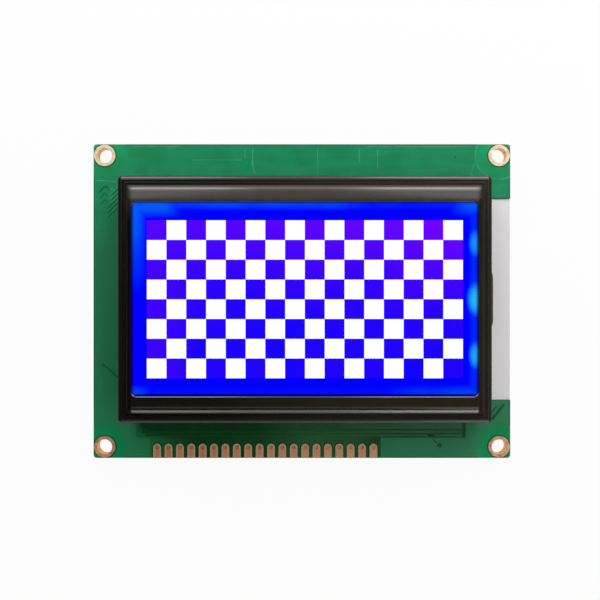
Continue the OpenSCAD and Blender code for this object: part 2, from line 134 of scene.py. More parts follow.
class Finish:
    """Node tree of one material, built round a single Principled shader."""

    def __init__(self, name, **sockets):
        """Starts the tree with the shaded point in millimetres, and sets sockets of the shader."""
        self.material = bpy.data.materials.new(name)
        self.material.use_nodes = True
        self.tree = self.material.node_tree
        self.shader = self.tree.nodes["Principled BSDF"]
        coords = self.add("TexCoord")
        position = self.add("VectorMath", coords.outputs["Object"], operation="SCALE")
        position.inputs["Scale"].default_value = 1 / MM
        self.point = position.outputs[0]
        split = self.add("SeparateXYZ", self.point)
        self.x, self.y, self.z = split.outputs
        normal = self.add("SeparateXYZ", coords.outputs["Normal"])
        self.flat = self.calc("ABSOLUTE", normal.outputs["Z"])
        for socket, value in sockets.items():
            self.put(self.shader.inputs[socket.replace("_", " ")], value)

    def put(self, socket, value):
        """Links a socket to another, or sets its value."""
        if isinstance(value, bpy.types.NodeSocket):
            self.tree.links.new(value, socket)
        else:
            socket.default_value = value

    def add(self, kind, *values, **settings):
        """New node with its settings, and with its first sockets linked or set."""
        node = self.tree.nodes.new("ShaderNode" + kind)
        for name, value in settings.items():
            setattr(node, name, value)
        for socket, value in zip(node.inputs, values):
            self.put(socket, value)
        return node

    def calc(self, operation, *values):
        """Result of a Math node."""
        return self.add("Math", *values, operation=operation).outputs[0]

    def times(self, first, second):
        """Product of two values."""
        return self.calc("MULTIPLY", first, second)

    def minus(self, first, second):
        """First value less the second."""
        return self.calc("SUBTRACT", first, second)

    def ramp(self, value, low, high, start=0.0, end=1.0):
        """Smooth step of a value: start below low and end above high."""
        node = self.add("MapRange", value, low, high, start, end, interpolation_type="SMOOTHSTEP")
        return node.outputs[0]

    def mix(self, factor, first, second, blend="MIX"):
        """First colour at factor 0, and second colour at factor 1."""
        node = self.add("Mix", data_type="RGBA", blend_type=blend)
        for index, value in ((0, factor), (6, first), (7, second)):
            self.put(node.inputs[index], value)
        return node.outputs[2]

    def noise(self, scale, detail=2.0, stretch=(1, 1, 1)):
        """Noise with about scale features to the millimetre."""
        place = self.add("Mapping", self.point)
        place.inputs["Scale"].default_value = stretch
        node = self.add("TexNoise", place.outputs[0])
        for name, value in (("Scale", scale), ("Detail", detail)):
            node.inputs[name].default_value = value
        return node.outputs["Fac"]

    def vary(self, scale, low, high, detail=2.0, stretch=(1, 1, 1)):
        """Value that wanders between low and high."""
        return self.ramp(self.noise(scale, detail, stretch), 0.3, 0.7, low, high)

    def blotch(self, noise, first, second):
        """Two colours in blotches that follow a noise."""
        return self.mix(self.ramp(noise, 0.35, 0.65), first, second)

    def scaled(self, colour, share):
        """Colour made darker or lighter by a share."""
        return self.mix(1.0, colour, self.add("CombineColor", share, share, share).outputs[0], "MULTIPLY")

    def cells(self, scale):
        """Distance from the nearest of scattered points, about scale of them to the millimetre."""
        node = self.add("TexVoronoi", self.point)
        node.inputs["Scale"].default_value = scale
        return node.outputs["Distance"]

    def span(self, across, along):
        """Length of the diagonal over two sides."""
        corner = self.add("CombineXYZ", across, along)
        return self.add("VectorMath", corner.outputs[0], operation="LENGTH").outputs["Value"]

    def wave(self, value, period):
        """Distance from the middle of the nearest period, in millimetres."""
        shifted = self.calc("ADD", value, period / 2)
        return self.calc("ABSOLUTE", self.minus(self.calc("FLOORED_MODULO", shifted, period), period / 2))

    def bump(self, height, depth, strength=1.0):
        """Relief from a height, where 1 stands for the depth in millimetres."""
        node = self.add("Bump")
        node.inputs["Strength"].default_value = strength
        node.inputs["Distance"].default_value = depth * MM
        self.put(node.inputs["Height"], height)
        self.put(self.shader.inputs["Normal"], node.outputs[0])

    def show(self, share, first, second):
        """Puts a mix of two shaders on the surface, with a share of the second."""
        both = self.add("MixShader", share, first.outputs[0], second.outputs[0])
        self.put(self.tree.nodes["Material Output"].inputs["Surface"], both.outputs[0])

    def colour(self, value):
        """Sets or links the base colour."""
        self.put(self.shader.inputs["Base Color"], value)

    def rough(self, value):
        """Sets or links the roughness."""
        self.put(self.shader.inputs["Roughness"], value)


# Finishes of the circuit board

MASK_POUR = srgb(18, 148, 97)
MASK_POUR_SHADE = srgb(13, 137, 85)
# Painted sheen of the lower board: greyer green, and lighter at the right as painted light
MASK_PAINTED_SHEEN_LEFT = srgb(40, 129, 83)
MASK_PAINTED_SHEEN_RIGHT = srgb(53, 133, 91)
MASK_BARE = srgb(46, 108, 60)
MASK_BARE_RIM = srgb(24, 122, 66)
# Painted shadow of the bezel on the bare laminate below it
MASK_BARE_PAINTED_SHADOW = srgb(12, 76, 30)
MASK_BARE_RIGHT = srgb(32, 84, 46)
MASK_BARE_HIGH = srgb(12, 98, 70)
# Tracks below the bezel: a painted shadow of it at the left, painted light at the right
MASK_BUS_PAINTED_SHADOW = srgb(15, 82, 35)
MASK_BUS = srgb(49, 112, 64)
MASK_BUS_PAINTED_LIGHT = srgb(58, 120, 82)
MASK_DISC = srgb(2, 148, 88)
# Painted light on the upper discs
MASK_DISC_PAINTED_LIGHT = srgb(6, 166, 104)
MASK_GAP = srgb(8, 48, 24)
# Painted highlight of the fine tracks on the front
MASK_PAINTED_HIGHLIGHT = srgb(78, 184, 130)
LAMINATE = srgb(128, 138, 84)
LAMINATE_SHADE = srgb(84, 96, 52)
MASK_ROUGH = 0.36
MASK_GLOSS = 0.25
CLOTH_PITCH = 0.9
STREAK = (0.15, 1.0, 1.0)

# Fades between the tones of the board, some of them painted shadow, sheen or light: from one x or y to
# another
SHADOW_FADE_X = (-14.0, 3.0)
BARE_RIGHT_FADE_X = (8.0, 20.0)
BUS_LIGHT_FADE_X = (3.0, 24.0)
BARE_HIGH_FADE_Y = (-27.5, -22.0)
SHEEN_FADE_Y = (6.0, 26.0)
DISC_LIGHT_FADE_Y = (HOLE_Y - 3.0, HOLE_Y + 2.0)


def mask_relief(f):
    """Fine grain of the printed mask, with a trace of the glass cloth beneath."""
    cloth = f.calc("ADD", f.wave(f.x, CLOTH_PITCH), f.wave(f.y, CLOTH_PITCH))
    f.bump(f.calc("MULTIPLY_ADD", cloth, 0.3, f.noise(5.0, 3.0)), 0.004, 0.5)
    f.rough(f.vary(0.35, MASK_ROUGH - 0.05, MASK_ROUGH + 0.06))


def from_pad(f):
    """Distance from the middle line of the nearest pad, or from the middle of its round end."""
    along = f.wave(f.minus(f.x, PAD_X0), PAD_PITCH)
    beyond = f.calc("MAXIMUM", f.minus(f.y, PAD_END_Y), 0.0)
    return f.span(along, beyond)


def board_finish():
    """Mask over bare laminate: brighter round the mounting holes, dark beside the pads and rings. Below the
    bezel it is dark at the left, where a painted shadow of the bezel lies, lighter in the middle and darker
    again at the right."""
    f = Finish("mask_on_laminate", Specular_IOR_Level=MASK_GLOSS)
    from_hole_x = f.minus(f.calc("ABSOLUTE", f.x), HOLE_X)
    from_hole_y = f.minus(f.calc("ABSOLUTE", f.y), HOLE_Y)
    radius = f.span(from_hole_x, from_hole_y)
    disc = f.ramp(radius, DISC_R - 0.1, DISC_R + 0.25, 1.0, 0.0)
    # Painted sheen on the rims of the lower discs, lighter towards the right as painted light
    painted_sheen_rim = f.mix(f.ramp(f.x, -HOLE_X, HOLE_X), MASK_PAINTED_SHEEN_LEFT, MASK_PAINTED_SHEEN_RIGHT)
    disc_rim = f.mix(f.ramp(f.y, -HOLE_Y, HOLE_Y), painted_sheen_rim, MASK_POUR)
    # Painted light: the upper discs are lighter towards the board's top edge
    disc_core = f.mix(f.ramp(f.y, *DISC_LIGHT_FADE_Y), MASK_DISC, MASK_DISC_PAINTED_LIGHT)
    disc_green = f.mix(f.ramp(radius, RING_R + 0.5, DISC_R, 0.0, 0.65), disc_core, disc_rim)
    ring_gap = f.ramp(radius, RING_R + 0.12, RING_R + 0.32, 1.0, 0.0)

    beside_pad = f.ramp(from_pad(f), PAD_W / 2 + 0.1, PAD_W / 2 + 0.3, 1.0, 0.0)
    row_mid = PAD_X0 + PAD_PITCH * (PAD_COUNT - 1) / 2
    row_half = PAD_PITCH * PAD_COUNT / 2
    in_row = f.calc("COMPARE", f.x, row_mid, row_half)
    pad_gap = f.times(beside_pad, in_row)

    # Painted shadow of the bezel below it: dark from the zone's left end, with a soft edge that widens
    # towards the pads, fading out towards the middle
    shadow_edge_w = f.ramp(f.y, ZONE_LOW - 1.0, ZONE_LOW + 2.5, 14.0, 1.5)
    fade = f.calc("DIVIDE", f.minus(f.x, ZONE_LEFT), shadow_edge_w)
    bare = f.mix(f.ramp(fade, 0.0, 1.0), MASK_BARE_RIM, MASK_BARE_PAINTED_SHADOW)
    bare = f.mix(f.ramp(f.x, *SHADOW_FADE_X), bare, MASK_BARE)
    bare = f.mix(f.ramp(f.x, *BARE_RIGHT_FADE_X), bare, MASK_BARE_RIGHT)
    bare = f.mix(f.ramp(f.y, *BARE_HIGH_FADE_Y), bare, MASK_BARE_HIGH)
    green = f.mix(disc, bare, disc_green)
    green = f.mix(f.calc("MAXIMUM", ring_gap, pad_gap), green, MASK_GAP)
    green = f.scaled(green, f.vary(0.25, 0.9, 1.08, 3.0))

    fibre = f.noise(1.2, 4.0, (1.0, 1.0, 9.0))
    edge = f.blotch(fibre, LAMINATE_SHADE, LAMINATE)
    f.colour(f.mix(f.ramp(f.flat, 0.4, 0.6), edge, green))
    mask_relief(f)
    return f.material


def copper_mask_finish(name, light, shade):
    """Mask over copper: brighter than over bare laminate, and greyer lower down with a painted sheen, which
    painted light makes lighter towards the right.
    """
    f = Finish(name, Specular_IOR_Level=MASK_GLOSS)
    cloud = f.noise(0.22, 4.0)
    streak = f.noise(0.8, 2.0, STREAK)
    tone = f.calc("MULTIPLY_ADD", streak, 0.35, f.times(cloud, 0.65))
    upper = f.mix(f.ramp(tone, 0.36, 0.64), shade, light)
    # Painted sheen lower down on the board, lighter towards the right as painted light
    lower = f.mix(f.ramp(f.x, -HOLE_X, HOLE_X), MASK_PAINTED_SHEEN_LEFT, MASK_PAINTED_SHEEN_RIGHT)
    share = f.calc("MULTIPLY_ADD", tone, 0.4, f.ramp(f.y, *SHEEN_FADE_Y, 0.75, -0.2))
    f.colour(f.mix(share, upper, lower))
    mask_relief(f)
    return f.material


def bus_finish():
    """Mask over the tracks above the pads, which stand out a little towards the right with painted light,
    and are dark at the left with a painted shadow of the bezel.
    """
    f = Finish("mask_on_bus", Specular_IOR_Level=MASK_GLOSS)
    # Painted light towards the right, and a painted shadow of the bezel at the left
    right = f.mix(f.ramp(f.x, *BUS_LIGHT_FADE_X), MASK_BUS, MASK_BUS_PAINTED_LIGHT)
    green = f.mix(f.ramp(f.x, *SHADOW_FADE_X), MASK_BUS_PAINTED_SHADOW, right)
    f.colour(f.scaled(green, f.vary(0.8, 0.92, 1.08, 2.0, STREAK)))
    mask_relief(f)
    return f.material


def plating_finish():
    """Eyelets: pale tin on the rings, warm copper in the bores and towards the lower edge. The rings'
    paleness towards the top is partly painted light.
    """
    f = Finish("eyelet_plating", Metallic=0.55, Specular_IOR_Level=0.5)
    worn = f.noise(1.4, 4.0)
    pale = f.blotch(worn, srgb(236, 210, 170), srgb(250, 236, 206))
    copper = f.blotch(worn, srgb(216, 156, 120), srgb(242, 198, 160))
    # Partly painted light: the rings are paler towards the top, warmer copper towards the bottom
    ring = f.mix(f.ramp(f.y, -HOLE_Y - 2, HOLE_Y + 2), copper, pale)
    bore = f.blotch(f.noise(2.0), srgb(214, 138, 52), srgb(246, 196, 104))
    f.colour(f.mix(f.ramp(f.flat, 0.3, 0.7), bore, ring))
    f.rough(f.ramp(worn, 0.3, 0.7, 0.3, 0.5))
    f.bump(f.noise(4.0, 3.0), 0.01, 0.6)
    return f.material


def pad_finish():
    """Pads: a tinned border round bare copper, each a little different and paler towards the right."""
    f = Finish("pad_plating", Metallic=0.15, Specular_IOR_Level=0.5)
    offset = f.minus(f.x, PAD_X0)
    number = f.calc("ROUND", f.calc("DIVIDE", offset, PAD_PITCH))
    hue = f.add("TexWhiteNoise", noise_dimensions="1D")
    f.put(hue.inputs["W"], number)
    ragged = f.calc("MULTIPLY_ADD", f.noise(2.5, 3.0), 0.3, from_pad(f))
    border = f.ramp(ragged, 0.5, 0.85)
    to_right = f.ramp(f.x, PADS_LOW.x, PADS_HIGH.x, 0.0, 0.7)
    paler = f.calc("MULTIPLY_ADD", hue.outputs["Value"], 0.3, to_right)
    copper = f.mix(paler, srgb(212, 132, 90), srgb(244, 172, 118))
    tin = f.mix(f.noise(1.8, 3.0), srgb(176, 160, 120), srgb(214, 202, 162))
    f.colour(f.mix(border, copper, tin))
    f.rough(f.vary(3.0, 0.34, 0.52))
    f.bump(f.noise(5.0, 3.0), 0.008, 0.6)
    return f.material


# Finishes of the bezel, the display and the backlight

PAINT = srgb(12, 7, 1)
# Browner paint, which towards the right is also lighter as painted light
PAINT_BROWN_AND_LIGHT = srgb(40, 33, 22)
PAINT_DUST = srgb(92, 88, 82)
PAINT_GLOSS = 0.75
PAINT_DULL = 0.02
DULL_ROUGH = 0.3
PEEL = 0.0009
BROWN_LIGHT_FADE_X = (-30.0, 14.0)
BROWN_FADE_Y = (16.0, 20.5)
CROWN_TILT = 0.158
CROWN_SPAN = 6.5
CROWN_START = 1.18
CROWN_REACH = 4.0
ROLL_R = 2.0
FACET_MID = 1.1
FACET_HALF = 0.4
FACET_COS = 0.83


def bezel_finish():
    """Black paint on sheet metal, browner and lighter towards the right, partly as painted light, and
    browner on the raised face above the window, with a slight orange peel and a few specks of dust. It is
    glossy on the long sides and dull in the folds, on the walls and on the short sides. The raised face is
    a little crowned above and below the window, and its lower bend has a narrow flat."""
    f = Finish("bezel_paint", Specular_IOR_Level=PAINT_GLOSS)
    peel = f.noise(2.6, 2.0)
    dust = f.ramp(f.cells(0.9), 0.03, 0.06, 1.0, 0.0)
    raised = f.ramp(f.z, SHOULDER_Z + 0.5, SHOULDER_Z + 1.1)
    above = f.times(f.ramp(f.y, *BROWN_FADE_Y), raised)
    # Partly painted light: browner and lighter towards the right
    brown = f.calc("MAXIMUM", f.ramp(f.x, *BROWN_LIGHT_FADE_X, 0.0, 0.9), above)
    brown = f.calc("ADD", brown, f.vary(0.12, -0.1, 0.1))
    paint = f.mix(brown, PAINT, PAINT_BROWN_AND_LIGHT)
    f.colour(f.mix(f.times(dust, 0.35), paint, PAINT_DUST))

    # Dull share: the folds, the raised face's short sides and the walls
    gloss = f.vary(0.5, 0.14, 0.2, 3.0)
    along = f.calc("ABSOLUTE", f.minus(f.x, CELL_MID.x))
    from_mid = f.minus(f.y, CELL_MID.y)
    out = f.minus(f.calc("ABSOLUTE", from_mid), WINDOW_HALF_H)
    upper = f.ramp(from_mid, WINDOW_HALF_H + 0.2, WINDOW_HALF_H + 1.0)
    dull_start = f.calc("MULTIPLY_ADD", upper, -0.2, FACE_HALF_W - 0.6)
    dull_end = f.calc("MULTIPLY_ADD", upper, 0.8, FACE_HALF_W)
    aside = f.ramp(along, dull_start, dull_end)
    fold = f.calc("MAXIMUM", aside, f.ramp(f.z, SHOULDER_Z + 0.8, SHOULDER_Z + 1.45, 1.0, 0.0))
    fold = f.times(fold, f.ramp(f.z, SHOULDER_Z + 0.002, SHOULDER_Z + 0.012))
    long_wall = f.ramp(f.z, SHOULDER_Z - 0.24, SHOULDER_Z - 0.14, 0.7, 0.0)
    bend_x = BEZEL_HIGH.x - BEZEL_R - CELL_MID.x
    short_wall = f.ramp(along, bend_x, bend_x + 0.2, 0.0, 0.95)
    dull = f.calc("MAXIMUM", fold, f.calc("MAXIMUM", long_wall, short_wall))
    f.rough(f.calc("MULTIPLY_ADD", dull, DULL_ROUGH, gloss))
    level = f.calc("MULTIPLY_ADD", dull, PAINT_DULL - PAINT_GLOSS, PAINT_GLOSS)
    f.put(f.shader.inputs["Specular IOR Level"], level)

    # Crown above and below the window
    across = f.calc("ADD", f.calc("MINIMUM", f.calc("MAXIMUM", out, 0.0), CROWN_REACH), CROWN_START)
    swing = f.calc("SINE", f.times(across, 2 * math.pi / CROWN_SPAN))
    fall = f.calc("MULTIPLY_ADD", swing, -CROWN_SPAN / (4 * math.pi), f.times(across, 0.5))
    crown = f.times(fall, -CROWN_TILT)

    # Narrow flat on the lower bend
    place = f.calc("ADD", from_mid, ROLL_START + FACET_MID)
    place = f.calc("DIVIDE", place, FACET_COS)
    dip = f.calc("MULTIPLY_ADD", place, place, -FACET_HALF ** 2)
    facet = f.calc("DIVIDE", f.calc("MINIMUM", dip, 0.0), 2 * ROLL_R)
    on_face = f.ramp(f.z, SHOULDER_Z + 0.1, SHOULDER_Z + 0.7)
    relief = f.times(f.calc("ADD", crown, facet), on_face)
    f.bump(f.calc("MULTIPLY_ADD", peel, PEEL, relief), 1.0)
    return f.material


def clear_finish(name, tint):
    """Clear sheet: see-through, with the gloss of its surface."""
    f = Finish(name, Base_Color=tint, Specular_IOR_Level=0.5)
    f.rough(f.ramp(f.noise(0.15, 3.0), 0.35, 0.7, 0.04, 0.09))
    f.bump(f.noise(0.2, 3.0), 0.003, 0.3)
    through = f.add("BsdfTransparent")
    rim = f.add("LayerWeight")
    rim.inputs["Blend"].default_value = 0.12
    f.show(f.times(rim.outputs["Fresnel"], 0.35), through, f.shader)
    return f.material


BLUE = srgb(2, 2, 252)
BLUE_PALE = srgb(7, 90, 249)
BLUE_LED = srgb(36, 184, 255)
BLUE_DARK = srgb(1, 1, 34)
VIOLET = srgb(128, 4, 255)
VIOLET_BLUE = srgb(16, 4, 251)
LIT = srgb(255, 255, 255)
LIT_GAP = srgb(170, 190, 255)
SPOT_R = 3.3
SPOT_END_R = 2.7
GUIDE_PITCH = 1.2
LAYER_PITCH = 0.18

# Pale patches of the blue field. Each is the product of one or two fades: the side of the field that the
# fade is measured from, where it starts and ends, and its value there.
PALE_PATCHES = (
    (("left", 5.5, 11.0, 1.0, 0.0), ("top", 0.4, 3.2, 1.1, 0.0)),
    (("top", 0.0, 1.5, 0.5, 0.0), ("left", 43.0, 50.0, 1.0, 0.2)),
    (("left", 0.5, 3.0, 1.05, 0.0), ("top", 0.0, 20.0, 1.0, 0.0)),
    (("right", 0.3, 1.8, 0.2, 0.0),),
    (("bottom", 0.3, 2.2, 1.0, 0.0), ("right", 8.0, 20.0, 0.4, 0.03)),
    (("right", 0.5, 6.0, 1.0, 0.0), ("top", 0.3, 3.0, 0.85, 0.0)),
    (("left", 0.5, 4.0, 1.0, 0.0), ("bottom", 0.3, 2.2, 0.5, 0.0)),
)


def glow(f, colour, strength):
    """Light of the backlight through the cell, whose face is slightly uneven."""
    f.put(f.shader.inputs["Emission Color"], colour)
    f.shader.inputs["Emission Strength"].default_value = strength
    f.shader.inputs["Base Color"].default_value = (0.0, 0.0, 0.0, 1.0)
    f.rough(f.vary(1.5, 0.42, 0.58))
    f.bump(f.noise(3.0), 0.002, 0.3)


def diode_glow(f, from_right):
    """Glow of each diode at the right edge of the field, strongest at the middle one."""
    from_led = f.wave(f.minus(f.y, LED_MID.y), LED_PITCH)
    reach = f.span(f.times(from_right, 1.5), f.times(from_led, 0.8))
    from_middle = f.calc("ABSOLUTE", f.minus(f.y, LED_MID.y))
    inner, outer = LED_PITCH * 0.35, LED_PITCH * 0.65
    spot = f.ramp(reach, 0.5, f.ramp(from_middle, inner, outer, SPOT_R, SPOT_END_R), 1.0, 0.0)
    upper = f.ramp(f.y, LED_MID.y + inner, LED_MID.y + outer, 1.0, 0.55)
    lower = f.ramp(f.y, LED_MID.y - outer, LED_MID.y - inner, 0.75, 1.0)
    in_row = f.calc("LESS_THAN", from_middle, LED_PITCH * LED_COUNT / 2)
    strength = f.times(f.times(upper, lower), in_row)
    return f.times(spot, strength)


def field_colour(f):
    """Blue field: paler in patches along its edges, with the glow of each diode at the right. It fades out
    over the seal."""
    sides = {
        "left": f.minus(f.x, CELL_LOW.x),
        "right": f.minus(CELL_HIGH.x, f.x),
        "top": f.minus(CELL_HIGH.y, f.y),
        "bottom": f.minus(f.y, CELL_LOW.y),
    }
    pale = 0.0
    for patch in PALE_PATCHES:
        share = 1.0
        for side, *fade in patch:
            share = f.times(share, f.ramp(sides[side], *fade))
        pale = f.calc("MAXIMUM", pale, share)
    pale = f.times(pale, f.ramp(f.noise(0.12, 2.0), 0.25, 0.65, 0.55, 1.1))
    field = f.mix(pale, BLUE, BLUE_PALE)
    field = f.mix(diode_glow(f, sides["right"]), field, BLUE_LED)
    beside = f.ramp(f.calc("MINIMUM", sides["left"], sides["right"]), -0.75, 0.25)
    rim = f.calc("MINIMUM", beside, f.ramp(sides["bottom"], -0.3, 0.3))
    rim = f.calc("MINIMUM", rim, f.ramp(sides["top"], -0.5, -0.1))
    return f.mix(rim, BLUE_DARK, field)


def crystal_finish(name):
    """Liquid crystal, or the seal round it, lit by the backlight."""
    f = Finish(name, Specular_IOR_Level=0.0)
    glow(f, field_colour(f), 1.0)
    return f.material


def dot_lines(f):
    """One on the fine gaps between dots, and zero on the dots."""
    lines = []
    for place, first in ((f.x, DOTS_LOW.x), (f.y, DOTS_LOW.y)):
        offset = f.minus(place, first - DOT_GAP / 2)
        lines.append(f.ramp(f.wave(offset, DOT_PITCH), DOT_GAP * 0.4, DOT_GAP * 0.8, 1.0, 0.0))
    return f.calc("MAXIMUM", *lines)


def lit_finish():
    """Dots that are on: white, with bluish gaps between them."""
    f = Finish("dots_lit", Specular_IOR_Level=0.0)
    share = f.times(dot_lines(f), 0.35)
    glow(f, f.mix(share, LIT, LIT_GAP), 1.08)
    return f.material


def idle_finish():
    """Dots that are off: violet towards the top and the upper right, and a little along the left edge."""
    f = Finish("dots_idle", Specular_IOR_Level=0.0)
    size = DOTS_HIGH - DOTS_LOW
    up = f.calc("DIVIDE", f.minus(f.y, DOTS_LOW.y), size.y)
    right = f.calc("DIVIDE", f.minus(f.x, DOTS_LOW.x), size.x)
    rise = f.times(f.calc("POWER", up, 3.0), 0.47)
    lean = f.calc("MULTIPLY_ADD", f.calc("POWER", right, 3.0), 1.2, 1.0)
    left = f.times(f.ramp(right, 0.0, 0.2, 0.24, 0.0), f.minus(1.0, up))
    patch = f.vary(0.09, 0.0, 0.06)
    share = f.calc("ADD", f.calc("MULTIPLY_ADD", rise, lean, left), patch)
    violet = f.mix(share, VIOLET_BLUE, VIOLET)
    glow(f, f.mix(f.times(dot_lines(f), 0.5), violet, BLUE), 1.0)
    return f.material


def plastic_finish(name, light, shade, rough):
    """Moulded plastic, film or ink, with slight flow marks and a fine skin."""
    f = Finish(name, Specular_IOR_Level=0.4)
    flow = f.noise(0.16, 3.0, (1.0, 0.35, 1.0))
    f.colour(f.mix(f.ramp(flow, 0.3, 0.7), shade, light))
    f.rough(f.vary(1.1, rough - 0.06, rough + 0.06))
    f.bump(f.noise(6.0, 2.0), 0.006, 0.4)
    return f.material


def guide_finish():
    """Clear acrylic with rows of printed dots that scatter the light."""
    f = Finish("guide_acrylic")
    reach = f.span(f.wave(f.x, GUIDE_PITCH), f.wave(f.y, GUIDE_PITCH))
    dot = f.ramp(reach, 0.25, 0.35, 1.0, 0.0)
    f.colour(f.mix(dot, srgb(214, 226, 234), srgb(250, 250, 250)))
    f.rough(f.calc("MULTIPLY_ADD", dot, 0.4, 0.12))
    f.bump(dot, 0.01, 0.5)
    return f.material


def metal_finish(name, light, shade, rough):
    """Tin or solder: bright, with soft marks of flow and handling."""
    f = Finish(name, Metallic=0.9)
    f.colour(f.blotch(f.noise(1.8, 4.0), shade, light))
    f.rough(f.vary(2.6, rough - 0.07, rough + 0.1))
    f.bump(f.noise(3.0, 3.0), 0.015, 0.5)
    return f.material


def strip_finish():
    """Contact strip: thin black and white layers side by side."""
    f = Finish("contact_layers")
    layer = f.ramp(f.wave(f.x, LAYER_PITCH), 0.04, 0.05)
    f.colour(f.mix(layer, srgb(30, 30, 30), srgb(188, 188, 182)))
    f.rough(f.vary(2.0, 0.62, 0.78))
    f.bump(layer, 0.006, 0.5)
    return f.material


def diode_finish():
    """Diode: yellow phosphor in a white cup."""
    f = Finish("diode_phosphor")
    from_led = f.wave(f.minus(f.y, LED_MID.y), LED_PITCH)
    above = f.calc("ABSOLUTE", f.minus(f.z, LED_MID.z))
    reach = f.calc("MAXIMUM", f.times(from_led, 0.7), above)
    cup = f.ramp(reach, 0.75, 0.85)
    f.colour(f.mix(cup, srgb(232, 206, 96), srgb(236, 234, 226)))
    f.rough(f.vary(3.0, 0.28, 0.42))
    f.bump(cup, 0.05, 0.6)
    return f.material


def glob_finish():
    """Black epoxy: glossy, slightly uneven, with a duller rim."""
    f = Finish("epoxy_black", Specular_IOR_Level=0.5)
    f.colour(f.mix(f.ramp(f.noise(2.0, 4.0), 0.45, 0.75), srgb(14, 14, 14), srgb(30, 29, 28)))
    f.rough(f.ramp(f.flat, 0.2, 0.9, 0.5, 0.24))
    f.bump(f.calc("MULTIPLY_ADD", f.noise(3.5, 3.0), 0.12, f.noise(0.35, 3.0)), 0.09, 0.6)
    return f.material


def chip_finish(name, light, shade, rough):
    """Ceramic body of a chip part, with fine speckle."""
    f = Finish(name, Specular_IOR_Level=0.4)
    f.colour(f.blotch(f.noise(9.0, 4.0), shade, light))
    f.rough(f.vary(4.0, rough - 0.08, rough + 0.08))
    f.bump(f.noise(12.0, 3.0), 0.006, 0.5)
    return f.material


def dress(material, *nodes):
    """Gives solids of the frame their finish."""
    for name in nodes:
        frame["nodes"][name].material_slots[0].material = material


# Mesh pieces

def new_object(name, data):
    """New object in the scene."""
    thing = bpy.data.objects.new(name, data)
    bpy.context.scene.collection.objects.link(thing)
    return thing


def offset_path(path, distance):
    """Path moved to its left by a distance, with mitred corners."""
    points = [Vector(point) for point in path]
    ways = [(b - a).normalized() for a, b in zip(points, points[1:])]
    moved = []
    for i, point in enumerate(points):
        before = ways[max(i - 1, 0)]
        after = ways[min(i, len(ways) - 1)]
        normal = Vector((-(before.y + after.y), before.x + after.x)).normalized()
        moved.append(point + normal * distance / normal.dot(Vector((-before.y, before.x))))
    return moved


def add_track(bm, path, width, base, rise):
    """Track with sloping sides along a path. Its rise is negative on the board's back."""
    half = width / 2
    lanes = []
    for offset, level in ((-half, base), (-half + TRACK_SLOPE, base + rise),
                          (half - TRACK_SLOPE, base + rise), (half, base)):
        lanes.append([bm.verts.new((p.x, p.y, level)) for p in offset_path(path, offset)])
    for first, second in zip(lanes, lanes[1:] + lanes[:1]):
        for i in range(len(path) - 1):
            bm.faces.new((first[i], first[i + 1], second[i + 1], second[i]))
    for end in (0, -1):
        bm.faces.new([lane[end] for lane in lanes])


def add_lathe(bm, centre, profile, steps):
    """Closed profile of (radius, level) points turned about an upright axis."""
    rings = []
    for radius, level in profile:
        ring = []
        for i in range(steps):
            angle = 2 * math.pi * i / steps
            ring.append(bm.verts.new((centre[0] + radius * math.cos(angle),
                                      centre[1] + radius * math.sin(angle), level)))
        rings.append(ring)
    for first, second in zip(rings, rings[1:] + rings[:1]):
        for i in range(steps):
            j = (i + 1) % steps
            bm.faces.new((first[i], first[j], second[j], second[i]))


def make_piece(name, bm, material):
    """Turns millimetre geometry into a piece that rides on the part."""
    bmesh.ops.recalc_face_normals(bm, faces=bm.faces)
    bmesh.ops.scale(bm, vec=(MM, MM, MM), verts=bm.verts)
    mesh = bpy.data.meshes.new(name)
    bm.to_mesh(mesh)
    bm.free()
    mesh.materials.append(material)
    piece = new_object(name, mesh)
    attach(piece, "root")


def make_plate(name, outlines, base, rise, material):
    """Thin plate with holes, from closed outlines, with a fine bevel round its edges."""
    curve = bpy.data.curves.new(name + "_outline", "CURVE")
    curve.dimensions = "2D"
    curve.fill_mode = "BOTH"
    curve.extrude = abs(rise) / 2 - POUR_BEVEL
    curve.bevel_depth = POUR_BEVEL
    curve.offset = -POUR_BEVEL
    curve.bevel_resolution = 1
    for outline in outlines:
        spline = curve.splines.new("POLY")
        spline.points.add(len(outline) - 1)
        for point, place in zip(spline.points, outline):
            point.co = (place[0], place[1], 0.0, 1.0)
        spline.use_cyclic_u = True
    shape = new_object(name + "_shape", curve)
    bpy.context.view_layer.update()
    filled = bpy.data.meshes.new_from_object(shape.evaluated_get(bpy.context.evaluated_depsgraph_get()))
    bpy.data.objects.remove(shape)
    bm = bmesh.new()
    bm.from_mesh(filled)
    bmesh.ops.translate(bm, vec=(0, 0, base + rise / 2), verts=bm.verts)
    make_piece(name, bm, material)


def arc(centre, radius, start, end, steps=16):
    """Points along an arc, with angles in degrees."""
    points = []
    for i in range(steps + 1):
        angle = math.radians(start + (end - start) * i / steps)
        points.append((centre[0] + radius * math.cos(angle), centre[1] + radius * math.sin(angle)))
    return points


def circle(centre, radius):
    """Closed outline of a round gap."""
    return arc(centre, radius, 0, 345, 23)


def slit(path, width):
    """Closed outline of a narrow gap along a path."""
    left = offset_path(path, width / 2)
    right = offset_path(path, -width / 2)
    return left + right[::-1]


# Copper on the board's front

